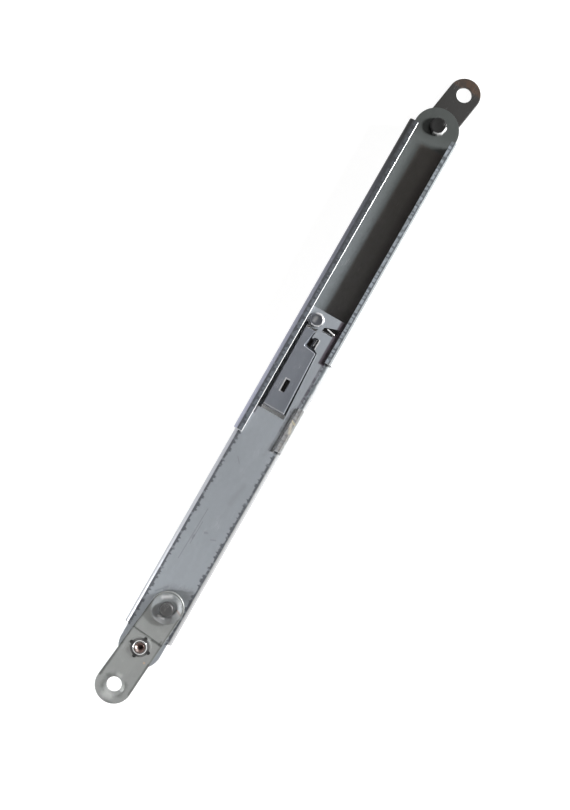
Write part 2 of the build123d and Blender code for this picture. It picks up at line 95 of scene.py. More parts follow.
@dataclass
class Graph:
    """A node tree, with short calls for the nodes that the finishes use."""

    tree: bpy.types.NodeTree

    def add(self, kind: str, feeds: dict | None = None, **settings: object) -> bpy.types.Node:
        """Adds a node.

        Args:
            kind: The node's type name.
            feeds: What each input gets, by the input's name or number.
            **settings: The node's own settings.

        Returns:
            The new node.
        """
        node = self.tree.nodes.new(kind)
        for key, value in settings.items():
            setattr(node, key, value)
        for key, value in (feeds or {}).items():
            socket = node.inputs[key]
            if isinstance(value, Socket):
                self.tree.links.new(value, socket)
            else:
                socket.default_value = (*value, 1) if socket.type == "RGBA" else value
        return node

    def maths(self, operation: str, first: Feed, second: Feed = 0.0, clamp: bool = False) -> Socket:
        """One sum on two values."""
        settings = {"operation": operation, "use_clamp": clamp}
        return self.add("ShaderNodeMath", {0: first, 1: second}, **settings).outputs[0]

    def times(self, first: Feed, second: Feed) -> Socket:
        """The product of two values."""
        return self.maths("MULTIPLY", first, second)

    def ramp(self, value: Feed, low: Feed, high: Feed) -> Socket:
        """A smooth step from 0 at low to 1 at high."""
        feeds = {"Value": value, "From Min": low, "From Max": high}
        return self.add("ShaderNodeMapRange", feeds, interpolation_type="SMOOTHSTEP").outputs[0]

    def band(self, value: Feed, low: float, high: float, soft: float) -> Socket:
        """1 between low and high, with soft ends."""
        rise = self.ramp(value, low - soft, low + soft)
        fall = self.ramp(value, high + soft, high - soft)
        return self.times(rise, fall)

    def noise(self, vector: Feed, scale: Feed, detail: float = 2.0, blur: float = 0.0) -> Socket:
        """Plain noise, about 0.5, with distortion from blur."""
        feeds = {"Vector": vector, "Scale": scale, "Detail": detail, "Distortion": blur}
        return self.add("ShaderNodeTexNoise", feeds).outputs[0]

    def vectors(self, operation: str, first: Feed, second: Feed, output: int | str = 0) -> Socket:
        """One sum on two vectors."""
        return self.add("ShaderNodeVectorMath", {0: first, 1: second}, operation=operation).outputs[output]

    def mapped(self, vector: Feed, scale: tuple, turn: float = 0.0, move: tuple = (0, 0, 0)) -> Socket:
        """Coordinates stretched, turned about Z and moved."""
        feeds = {"Vector": vector, "Scale": scale, "Rotation": (0, 0, turn), "Location": move}
        return self.add("ShaderNodeMapping", feeds).outputs[0]

    def mixed(self, factor: Feed, first: Feed, second: Feed) -> Socket:
        """A colour between two."""
        return self.add("ShaderNodeMix", {0: factor, 6: first, 7: second}, data_type="RGBA").outputs[2]

    def between(self, factor: Feed, first: Feed, second: Feed) -> Socket:
        """A value between two."""
        return self.add("ShaderNodeMix", {0: factor, 2: first, 3: second}, data_type="FLOAT").outputs[0]


def scratches(graph: Graph, sockets: Sockets) -> Socket:
    """Thin broken lines, in two leanings about the X axis."""
    lines: Feed = 0.0
    for turn, shift in ((0.06, 0.0), (-0.35, 3.7)):
        stretched = graph.mapped(sockets["Vector"], (70, 2300, 70), turn, (shift, shift, 0))
        away = graph.maths("ABSOLUTE", graph.maths("SUBTRACT", graph.noise(stretched, 1.0, 1.0), 0.5))
        lines = graph.maths("MAXIMUM", lines, graph.ramp(away, SCRATCH_WIDTH, 0.0))
    patches = graph.noise(sockets["Vector"], 160)
    kept = graph.ramp(patches, graph.maths("SUBTRACT", 0.72, sockets["Amount"]), 0.72)
    return graph.times(lines, kept)


def mottle(graph: Graph, sockets: Sockets) -> Socket:
    """Soft patches a few millimetres long, as on rolled zinc."""
    stretched = graph.mapped(sockets["Vector"], (0.6, 1.3, 1.0))
    coarse = graph.noise(stretched, sockets["Scale"], 2.0, 0.7)
    fine = graph.noise(sockets["Vector"], graph.times(sockets["Scale"], 3.3), 3.0)
    both = graph.between(0.35, coarse, fine)
    return graph.ramp(both, 0.36, 0.64)


def fold_ticks(graph: Graph, sockets: Sockets) -> Socket:
    """A dark line along a fold, with short uneven teeth toward the flat."""
    noises = []
    for count in (1.0, 0.3, 0.8):
        scale = graph.maths("DIVIDE", count, sockets["Pitch"])
        feeds = {"W": sockets["Along"], "Scale": scale, "Detail": 1.0}
        noises.append(graph.add("ShaderNodeTexNoise", feeds, noise_dimensions="1D").outputs[0])
    teeth, sway, patches = noises
    line = graph.times(sockets["Line"], graph.maths("ADD", sway, 0.5))
    reach = graph.maths("ADD", line, graph.times(graph.ramp(teeth, 0.5, 0.6), sockets["Tooth"]))
    inside = graph.ramp(sockets["Across"], reach, graph.times(reach, 0.5))
    start = graph.ramp(sockets["Across"], graph.times(sockets["Line"], -0.3), 0.0)
    kept = graph.between(0.5, 1.0, graph.ramp(patches, 0.25, 0.5))
    return graph.times(graph.times(inside, start), kept)


def edge_shine(graph: Graph, sockets: Sockets) -> Socket:
    """The edges of a piece, a little broken."""
    round_normal = graph.add("ShaderNodeBevel", {"Radius": SHINE_WIDTH}, samples=4).outputs[0]
    normal = graph.add("ShaderNodeNewGeometry").outputs["Normal"]
    edge = graph.ramp(graph.vectors("DOT_PRODUCT", round_normal, normal, "Value"), 0.985, 0.86)
    return graph.times(edge, graph.ramp(graph.noise(sockets["Vector"], 700), 0.3, 0.5))


def soft_spot(graph: Graph, sockets: Sockets) -> Socket:
    """A soft uneven spot about a point."""
    length = graph.vectors("DISTANCE", sockets["Vector"], sockets["Centre"], "Value")
    uneven = graph.times(graph.noise(sockets["Vector"], 500, 3.0), sockets["Radius"])
    return graph.ramp(graph.maths("ADD", length, uneven), graph.times(sockets["Radius"], 1.4), 0.0)


def soft_stroke(graph: Graph, sockets: Sockets) -> Socket:
    """A soft line between two points, seen from above."""
    flat = graph.vectors("MULTIPLY", sockets["Vector"], (1, 1, 0))
    off = graph.vectors("SUBTRACT", flat, sockets["Start"])
    run = graph.vectors("SUBTRACT", sockets["End"], sockets["Start"])
    along = graph.vectors("DOT_PRODUCT", off, run, "Value")
    share = graph.maths("DIVIDE", along, graph.vectors("DOT_PRODUCT", run, run, "Value"), clamp=True)
    nearest = graph.add("ShaderNodeVectorMath", {0: run, "Scale": share}, operation="SCALE").outputs[0]
    apart = graph.vectors("DISTANCE", off, nearest, "Value")
    uneven = graph.times(graph.noise(flat, 900), sockets["Width"])
    half = graph.maths("ADD", graph.times(sockets["Width"], 0.5), uneven)
    return graph.ramp(apart, half, 0.0)


class Effect(Enum):
    """The shared shader effects: for each its name, what draws it, and its inputs."""

    SCRATCHES = ("fine_scratches", scratches, ("Vector", "Amount"))
    MOTTLE = ("zinc_mottle", mottle, ("Vector", "Scale"))
    FOLD_TICKS = ("fold_ticks", fold_ticks, ("Along", "Across", "Line", "Tooth", "Pitch"))
    EDGE_SHINE = ("edge_shine", edge_shine, ("Vector",))
    SPOT = ("soft_spot", soft_spot, ("Vector", "Centre", "Radius"))
    STROKE = ("soft_stroke", soft_stroke, ("Vector", "Start", "End", "Width"))


@cache
def effect_tree(effect: Effect) -> bpy.types.NodeTree:
    """The node group of a shared effect, built once."""
    name, draw, inputs = effect.value
    tree = bpy.data.node_groups.new(name, "ShaderNodeTree")
    for label in inputs:
        kind = "NodeSocketVector" if label in VECTORS else "NodeSocketFloat"
        tree.interface.new_socket(label, in_out="INPUT", socket_type=kind)
    tree.interface.new_socket("Mask", in_out="OUTPUT", socket_type="NodeSocketFloat")
    graph = Graph(tree)
    mask = draw(graph, graph.add("NodeGroupInput").outputs)
    graph.add("NodeGroupOutput", {"Mask": mask})
    return tree


def blank_material(label: str) -> tuple[bpy.types.Material, Graph]:
    """A new material and its empty graph."""
    material = bpy.data.materials.new(label)
    material.use_nodes = True
    material.node_tree.nodes.clear()
    return material, Graph(material.node_tree)


@dataclass
class Coat:
    """What a surface shows while effects are laid over it, one on the other."""

    graph: Graph
    vector: Socket
    colour: Feed
    roughness: Feed
    relief: Feed = 0.0

    def cover(
        self, mask: Feed, colour: Feed | None = None, roughness: float | None = None, relief: float = 0.0,
        share: float | None = None,
    ) -> None:
        """Lays a colour, a roughness or a relief over the surface.

        Args:
            mask: How much of it shows at each place.
            colour: The new colour, if it changes.
            roughness: The new roughness, if it changes.
            relief: How far the surface rises where the mask is whole.
            share: How strongly all of it shows, if not wholly.
        """
        if share is not None:
            mask = self.graph.times(mask, share)
        if colour is not None:
            self.colour = self.graph.mixed(mask, self.colour, colour)
        if roughness is not None:
            self.roughness = self.graph.between(mask, self.roughness, roughness)
        if relief:
            self.relief = self.graph.maths("ADD", self.relief, self.graph.times(mask, relief))

    def effect(self, effect: Effect, **feeds: Feed) -> Socket:
        """The mask that a shared effect gives on this surface."""
        if "Vector" in effect.value[2]:
            feeds["Vector"] = self.vector
        return self.graph.add("ShaderNodeGroup", feeds, node_tree=effect_tree(effect)).outputs[0]

    def axis(self, letter: str) -> Socket:
        """One coordinate of the surface point."""
        return self.graph.add("ShaderNodeSeparateXYZ", {0: self.vector}).outputs[letter]


Marks = tuple[Callable[[Coat], None], ...]


@dataclass(frozen=True)
class Finish:
    """A finish that every piece of one kind shares: its colours, its gloss, how worn it is and its painted
    light and shade.
    """

    name: str
    colour: Colour
    patch_colour: Colour
    edge_colour: Colour = grey(0.85)
    roughness: float = 0.42
    metallic: float = 0.5
    mottle_scale: float = 220.0
    mottle_share: float = 0.5
    scratch_amount: float = 0.16
    scratch_share: float = 0.35
    edge_share: float = 0.6
    grain_depth: float = 0.02 * MM
    layers: Marks = ()
    slot: str | None = None

    @cache
    def material(self) -> bpy.types.Material:
        """The finish as a material, built once."""
        material, graph = blank_material(f"{self.name}_surface")
        coat = Coat(graph, graph.add("ShaderNodeTexCoord").outputs["Object"], self.colour, self.roughness)
        self.lay(coat)
        for layer in self.layers:
            layer(coat)
        bump = graph.add("ShaderNodeBump", {"Height": coat.relief, "Distance": 1.0, "Strength": 1.0})
        feeds = {"Base Color": coat.colour, "Roughness": coat.roughness, "Metallic": self.metallic}
        shader = graph.add("ShaderNodeBsdfPrincipled", feeds | {"Normal": bump.outputs[0]})
        graph.add("ShaderNodeOutputMaterial", {"Surface": shader.outputs[0]})
        return material

    def lay(self, coat: Coat) -> None:
        """Lays the patches, the grain, the scratches and the lightened edges, partly worn and partly painted
        highlight.
        """
        graph = coat.graph
        patches = coat.effect(Effect.MOTTLE, Scale=self.mottle_scale)
        coat.cover(patches, self.patch_colour, self.roughness * 1.25, share=self.mottle_share)
        broad = graph.ramp(graph.noise(coat.vector, 45), 0.35, 0.7)
        coat.cover(broad, self.patch_colour, share=0.25)
        grain = graph.noise(graph.mapped(coat.vector, (0.35, 1.0, 1.0)), 1500, 3.0)
        coat.cover(grain, relief=self.grain_depth)
        marks = coat.effect(Effect.SCRATCHES, Amount=self.scratch_amount)
        coat.cover(marks, self.edge_colour, 0.3, -0.4 * self.grain_depth, self.scratch_share)
        # The edges' pale colour is partly painted highlight and partly worn metal.
        if self.edge_share:
            coat.cover(coat.effect(Effect.EDGE_SHINE), self.edge_colour, 0.22, share=self.edge_share)


@dataclass(frozen=True, eq=False)
class Box:
    """The box of a part, with its middle and half of its width across the arm."""

    low: Vector
    high: Vector
    middle: Vector
    half: float


def spans(node: str) -> Box:
    """The box of a part."""
    low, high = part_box(node)
    return Box(low, high, (low + high) / 2, (high.y - low.y) / 2)


@dataclass(frozen=True)
class Fold:
    """One fold of a channel, its band smoother and painted as a reflection, with a dark toothed line on the
    flat beside it.
    """

    box: Box
    side: int
    width: float
    ends_x: Pair
    near: Colour
    far: Colour
    dark_near: Colour
    dark_far: Colour
    line: float
    tooth: float
    pitch: float = 2.0 * MM
    gloss: float = 0.3
    darkness: float = 0.85
    grain_kept: float = 0.1

    def __call__(self, coat: Coat) -> None:
        """Lays the fold's painted reflection and its line on a surface."""
        graph = coat.graph
        away = graph.times(graph.maths("SUBTRACT", coat.axis("Y"), self.box.middle.y), self.side)
        along = graph.ramp(coat.axis("X"), *self.ends_x)
        level, start = self.box.high.z, self.box.half - self.width
        upper = graph.ramp(coat.axis("Z"), level - 1.9 * MM, level - 1.5 * MM)
        upper = graph.times(upper, graph.band(coat.axis("X"), *self.ends_x, 0.3 * MM))
        fold = graph.times(graph.ramp(away, start - 0.15 * MM, start + 0.3 * MM), upper)
        coat.relief = graph.times(coat.relief, graph.between(fold, 1.0, self.grain_kept))
        # painted reflection: the fold's band, from its near colour to its far one
        coat.cover(fold, graph.mixed(along, self.near, self.far), self.gloss)
        inward = graph.maths("SUBTRACT", start, away)
        shifted = graph.maths("ADD", coat.axis("X"), 7.3 * self.side)
        sizes = {"Line": self.line, "Tooth": self.tooth, "Pitch": self.pitch}
        ticks = graph.times(coat.effect(Effect.FOLD_TICKS, Along=shifted, Across=inward, **sizes), upper)
        dark = graph.mixed(along, self.dark_near, self.dark_far)
        coat.cover(ticks, dark, 0.5, share=self.darkness)


@dataclass(frozen=True)
class Mark:
    """Something laid on a surface from one place to another, as seen from above."""

    start: Pair
    end: Pair
    soft: float
    colour: Colour
    share: float

    @classmethod
    def at(cls, place: Sequence[float], *groups: Sequence[Row], z: Pair | None = None) -> tuple[Self, ...]:
        """Marks about one place.

        Args:
            place: Where their places are measured from.
            *groups: A colour and then the rows of its marks: each mark's start, end and softness or width in
                millimetres, its share, and what else it has.
            z: Between what heights they lie, where that matters.

        Returns:
            The marks in order.
        """
        x, y, heights = place[0], place[1], {"z": z} if z else {}
        return tuple(
            cls((x + a * MM, y + b * MM), (x + c * MM, y + d * MM), soft * MM, colour, *more, **heights)
            for colour, *rows in groups
            for a, b, c, d, soft, *more in rows
        )


@dataclass(frozen=True)
class Stroke(Mark):
    """A soft line, as a scratch, a smear or a worn edge leaves, or a line of painted light or shade."""

    def __call__(self, coat: Coat) -> None:
        """Lays the line on a surface."""
        line = coat.effect(Effect.STROKE, Start=(*self.start, 0), End=(*self.end, 0), Width=self.soft)
        coat.cover(line, self.colour, share=self.share)


@dataclass(frozen=True)
class Strip(Mark):
    """A stained or shaded stretch between two corners, with its softness along the arm in millimetres."""

    broken: float = 0.0
    soft_x: float = 0.0
    z: Pair = (-1, 1)

    def __call__(self, coat: Coat) -> None:
        """Lays the stretch's colour on a surface."""
        graph = coat.graph
        mask: Feed = self.share
        softs = (self.soft_x * MM or self.soft, self.soft, self.soft)
        for letter, low, high, soft in zip("XYZ", (*self.start, self.z[0]), (*self.end, self.z[1]), softs):
            mask = graph.times(mask, graph.band(coat.axis(letter), low, high, soft))
        if self.broken:
            patches = graph.ramp(graph.noise(coat.vector, 420, 3.0), 0.42, 0.6)
            mask = graph.times(mask, graph.between(self.broken, 1.0, patches))
        coat.cover(mask, self.colour)


@dataclass(frozen=True)
class Spot:
    """A small soft stain about a point."""

    centre: tuple[float, float, float]
    radius: float
    colour: Colour
    share: float

    def __call__(self, coat: Coat) -> None:
        """Lays the stain on a surface."""
        spot = coat.effect(Effect.SPOT, Centre=self.centre, Radius=self.radius)
        coat.cover(spot, self.colour, 0.6, share=self.share)


def make_active(piece: Piece) -> None:
    """Selects one piece alone."""
    bpy.ops.object.select_all(action="DESELECT")
    piece.select_set(True)
    bpy.context.view_layer.objects.active = piece


def apply_modifier(piece: Piece, kind: str, **settings: object) -> None:
    """Adds a modifier to a piece and applies it.

    Args:
        piece: The piece.
        kind: The modifier's type name.
        **settings: The modifier's own settings.
    """
    modifier = piece.modifiers.new(kind.lower(), kind)
    for key, value in settings.items():
        setattr(modifier, key, value)
    make_active(piece)
    bpy.ops.object.modifier_apply(modifier=modifier.name)


def soften(piece: Piece, edge: float, segments: int, angle: float = 35) -> None:
    """Rounds a piece's sharp edges a little and shades it smooth between them.

    Args:
        piece: The piece.
        edge: The width of the rounding.
        segments: How many bands it has.
        angle: How sharp an edge has to be, in degrees.
    """
    settings = {"width": edge, "segments": segments, "limit_method": "ANGLE", "angle_limit": radians(angle)}
    apply_modifier(piece, "BEVEL", use_clamp_overlap=True, **settings)
    bpy.ops.object.shade_smooth_by_angle(angle=radians(angle))
    apply_modifier(piece, "WEIGHTED_NORMAL", keep_sharp=True, weight=80)


def open_up(piece: Piece) -> None:
    """Goes into a piece's mesh, with all of it selected and its doubled points joined."""
    make_active(piece)
    if piece.data.has_custom_normals:
        bpy.ops.mesh.customdata_custom_splitnormals_clear()
    bpy.ops.object.mode_set(mode="EDIT")
    bpy.ops.mesh.select_all(action="SELECT")
    bpy.ops.mesh.remove_doubles(threshold=MICRON)


def close_up(inside: bool = False) -> None:
    """Turns all faces of the open mesh outward, or inward, and leaves it."""
    bpy.ops.mesh.select_all(action="SELECT")
    bpy.ops.mesh.normals_make_consistent(inside=inside)
    bpy.ops.object.mode_set(mode="OBJECT")


def raised(name: str, centre: Vector, profile: Profile, sides: int = 96, bored: bool = True) -> Piece:
    """A round shape drawn up ring by ring, and left open in edit mode with its last ring selected.

    Args:
        name: The new piece's name.
        centre: The point on its axis that heights are measured from.
        profile: Each ring's radius and height.
        sides: How many sides each ring has.
        bored: Whether its first ring is left without a face.

    Returns:
        The new piece.
    """
    radius, height = profile[0]
    fill, place = "NOTHING" if bored else "NGON", centre + Vector((0, 0, height))
    bpy.ops.mesh.primitive_circle_add(vertices=sides, radius=radius, fill_type=fill, location=place)
    piece = bpy.context.object
    piece.name = piece.data.name = name
    bpy.ops.object.transform_apply(location=True)
    bpy.ops.object.mode_set(mode="EDIT")
    for next_radius, next_height in profile[1:]:
        bpy.ops.mesh.extrude_edges_move(TRANSFORM_OT_translate={"value": (0, 0, next_height - height)})
        share, middle = next_radius / radius, centre + Vector((0, 0, next_height))
        bpy.ops.transform.resize(value=(share, share, 1), center_override=middle)
        radius, height = next_radius, next_height
    return piece


def rounded(corners: Sequence[Vector], radius: float) -> list[Vector]:
    """A route with its right-angled corners rounded off.

    Args:
        corners: The route's points in order.
        radius: The rounding's radius.

    Returns:
        The points of the rounded route.
    """
    route = [corners[0]]
    for before, corner, after in zip(corners, corners[1:], corners[2:]):
        come, leave = (corner - before).normalized(), (after - corner).normalized()
        if abs(come.dot(leave)) > 0.2:
            route.append(corner)
            continue
        for share in shares(BEND_STEPS):
            angle = pi / 2 * share
            route.append(corner - come * radius * (1 - sin(angle)) + leave * radius * (1 - cos(angle)))
    return route + [corners[-1]]


def crown(base: float, top: float, low: float, high: float, steps: int = 10) -> list[Pair]:
    """Rings up a quarter ellipse, from a rim to a flat top.

    Args:
        base: The radius of the rim.
        top: The radius of the flat.
        low: The height of the rim.
        high: The height of the flat.
        steps: How many rings there are, less one.

    Returns:
        Each ring's radius and height.
    """
    angles = [pi / 2 * share for share in shares(steps)]
    return [(top + (base - top) * cos(angle), low + (high - low) * sin(angle)) for angle in angles]


@dataclass
class Assembly:
    """A group of pieces that one body carries or that work together."""

    made: list[str] = field(default_factory=list)

    def dress(self, piece: Piece, finish: Finish) -> None:
        """Gives a piece, or a part that shows as it is, its finish and notes it."""
        piece.data.materials.clear()
        piece.data.materials.append(finish.material())
        self.made.append(piece.name)

    def keep(self, piece: Piece, finish: Finish, body: str | None) -> None:
        """Dresses a new piece and sets it on its body, if one body carries all of it."""
        self.dress(piece, finish)
        if body:
            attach(piece, body)

    def refine(
        self, node: str, name: str, finish: Finish, edge: float = 0.12 * MM, segments: int = 3,
        body: str | None = None,
    ) -> None:
        """Puts a part's own mesh in its place, joined up and with its sharp edges softened.

        Args:
            node: The part's name.
            name: The new piece's name.
            finish: Its finish.
            edge: The width of the softened edges.
            segments: How many bands round each edge.
            body: The body that it rides on, if not the one of the part's name.
        """
        piece = bpy.data.objects.new(name, frame["nodes"][node].data.copy())
        bpy.context.collection.objects.link(piece)
        open_up(piece)
        bpy.ops.mesh.dissolve_limited(angle_limit=radians(0.5))
        bpy.ops.object.mode_set(mode="OBJECT")
        soften(piece, edge, segments)
        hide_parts(node)
        self.keep(piece, finish, body or node)

    def turn(
        self, node: str, name: str, profile: Profile, body: str, finish: Finish,
        edge: float = 0.12 * MM, segments: int = 3, angle: float = 40, bored: bool = False,
    ) -> None:
        """Turns a round piece in the place of a part.

        Args:
            node: The part's name.
            name: The new piece's name.
            profile: Each ring's radius and height, from the bottom round the outside to the top.
            body: The body that it rides on.
            finish: Its finish.
            edge: The width of its softened edges.
            segments: How many bands round each edge.
            angle: How sharp an edge has to be, in degrees.
            bored: Whether the last ring joins the first, round a bore.
        """
        piece = raised(name, spans(node).middle * Vector((1, 1, 0)), profile, bored=bored)
        if bored:
            bpy.ops.mesh.select_all(action="DESELECT")
            bpy.ops.mesh.select_non_manifold()
            bpy.ops.mesh.bridge_edge_loops()
        else:
            bpy.ops.mesh.edge_face_add()
        close_up()
        soften(piece, edge, segments, angle)
        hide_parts(node)
        self.keep(piece, finish, body)


def joint_point(name: str) -> Vector:
    """Where a joint's axis passes, as the frame says."""
    joint = next(joint for joint in frame["joints"] if joint["name"] == name)
    return Vector(joint["pos_m"])


@dataclass(frozen=True)
class Rivet:
    """A button headed rivet with a slightly hollow flat, its lengths in millimetres."""

    node: str
    foot: Profile
    flat: float
    height: float
    rim: float
    hollow: Pair
    dimple: Pair
    radius: float | None = None

    def profile(self) -> list[Pair]:
        """Its rings in metres, from the edge of its foot to the middle of its flat."""
        box = spans(self.node)
        top, radius = box.high.z, self.radius * MM if self.radius else box.half
        base = top - self.height * MM
        rings = [(wide * MM, box.low.z + rise * MM) for wide, rise in self.foot]
        rings += [(rings[-1][0], base), (radius, base)]
        rings += crown(radius, self.flat * MM, base + self.rim * MM, top)
        return rings + [(wide * MM, top - depth * MM) for wide, depth in (self.hollow, self.dimple)]


@dataclass
class FrameEnd(Assembly):
    """The fixing link at the frame, with the rivet and the washer that the arm swings on."""

    edge: float = 0.14 * MM
    rust_length: float = 5 * MM
    rust_height: float = 2 * MM
    rivet: Rivet = Rivet(
        "frame_pivot_rivet", ((3.6, 0), (2.4, 1.2)), 3.1, 1.9, 0.3, (2.48, 0.1), (0.5, 0.16), 4.0
    )

    def build(self) -> None:
        """Builds the link, the rivet and the washer."""
        low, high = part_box("frame_link")
        start, brown = (high.x - self.rust_length, low.y), (0.1, 0.05, 0.025)
        rust = Strip(start, (high.x, high.y), MM, brown, 0.6, 0.6, z=(0, self.rust_height))
        # Its dark grey is painted shade for the dim frame end; the brown strip at its end is rust.
        dimmed_link = Finish(
            "aged_link_steel", grey(0.033, 0.02), grey(0.02, 0.08), grey(0.4), roughness=0.5,
            edge_share=0.25, mottle_scale=260, layers=(rust,),
        )
        self.refine("frame_link", "frame_link_plate", dimmed_link, self.edge)
        self.dress(frame["nodes"]["frame_pivot_washer"], dimmed_link)
        # Painted highlight: a bright crescent round the rivet's lower rim.
        rim = (
            grey(0.8), (-3.7, 0.4, -3.4, -1.6, 0.7, 0.5), (-3.4, -1.6, -2.2, -3, 0.7, 0.9),
            (-2.2, -3, 0.9, -3.7, 0.7, 0.8),
        )
        dark = Finish(
            "dark_rivet_steel", grey(0.025), grey(0.018), metallic=0.7, mottle_scale=600, edge_share=0.1,
            layers=Stroke.at(spans("frame_pivot_rivet").middle, rim),
        )
        self.turn("frame_pivot_rivet", "frame_rivet", self.rivet.profile(), "frame_link", dark)


@dataclass
class OuterChannel(Assembly):
    """The lipped channel that the arm slides in."""

    edge: float = 0.09 * MM
    walls: float = 155.8 * MM
    web_inside: float = 1.2 * MM

    def build(self) -> None:
        """Builds the channel."""
        box = spans("outer_channel")
        zinc = Finish(
            "outer_channel_steel", (0.255, 0.28, 0.295), (0.2, 0.22, 0.23), roughness=0.4,
            mottle_scale=330, mottle_share=0.6, edge_share=0.3, layers=(*self.web(box), *self.lips(box)),
        )
        self.refine("outer_channel", "outer_channel_strip", zinc, self.edge, 2)

    def web(self, box: Box) -> Marks:
        """The web's painted shade: darker toward the frame end and its round end, a brown tint over the part
        in the lower wall's shadow, and darker still by the lower wall.
        """
        mouth, inside = (box.low.x, box.middle.y), (0, box.low.z + self.web_inside)
        # Painted shade toward the frame end, then painted shade in the lower wall's shadow.
        return Strip.at(
            mouth,
            ((0.09, 0.1, 0.094), (107.9, -FAR, FAR, FAR, 0.4, 0.75, 0, 47.9)),
            ((0.062, 0.068, 0.065), (152.8, -FAR, FAR, FAR, 0.4, 0.8, 0, 7)),
        ) + Strip.at(
            mouth,
            ((0.16, 0.135, 0.12), (0, -12.5, 150.6, 2.9, 0.8, 0.65)),
            ((0.05, 0.036, 0.04), (60, -12.5, 152.8, -5.4, 2.2, 0.6, 0, 3)),
            z=inside,
        )

    def lips(self, box: Box) -> Marks:
        """The lips' painted light and shade, the folds' painted reflections and toothed lines, painted
        highlights along the upper lip's inner edge and on the cut ends, and the stain on the tab by the
        mouth.
        """
        mouth, top = (box.low.x, box.middle.y), (box.high.z - MM, box.high.z + MM)
        ends = (box.low.x, box.low.x + self.walls)
        # The folds' bands are painted reflection, pale near the mouth and, on the upper fold, dark toward the
        # frame end.
        upper = Fold(
            box, 1, 1.75 * MM, ends, (0.56, 0.58, 0.72), (0.04, 0.041, 0.044),
            (0.08, 0.085, 0.1), (0.04, 0.042, 0.045), 1.0 * MM, 1.5 * MM,
        )
        lower = Fold(
            box, -1, 2.3 * MM, ends, (0.72, 0.76, 0.78), (0.78, 0.83, 0.85),
            (0.08, 0.085, 0.1), (0.07, 0.08, 0.09), 0.7 * MM, 1.9 * MM, 1.6 * MM,
        )
        # Painted light and shade: the upper lip darker, the lower lip lighter, and the upper lip darker still
        # toward the frame end.
        tones = Strip.at(
            mouth,
            ((0.17, 0.19, 0.22), (-1, 8.3, 155.8, 10.5, 0.4, 0.85)),
            ((0.36, 0.4, 0.45), (-1, -10.5, 155.8, -8.3, 0.3, 0.8, 0.7)),
            ((0.05, 0.053, 0.056), (80, 8.3, 195.8, 12.5, 0.3, 0.7, 0, 40)),
            z=top,
        )
        # Painted highlights on the lips' cut ends, at the mouth and at the notch.
        lit_cut_ends = (
            (0.9, 0.92, 0.95), (0, 8, 0, 12.5, 0.5, 0.8), (0, -12.5, 0, -8.25, 0.5, 0.8),
            (43.9, -12.5, 43.9, -8.75, 0.5, 0.8),
        )
        return (
            *tones,
            upper,
            lower,
            # painted highlight along the upper lip's inner edge
            *Strip.at(mouth, (grey(1), (0, 7.9, 155.3, 8.5, 0.12, 1)), z=top),
            *Stroke.at(mouth, lit_cut_ends),
            *Strip.at(mouth, ((0.46, 0.43, 0.4), (0, -12.5, 21.3, -8.3, 0.4, 0.5, 0.5)), z=top),
            *Stroke.at(
                mouth,
                ((0.85, 0.79, 0.66), (9.5, -10.3, 13.5, -8.9, 1.2, 0.6)),
                ((0.85, 0.75, 0.5), (14, -10.3, 15, -8.5, 0.7, 0.6)),
            ),
        )


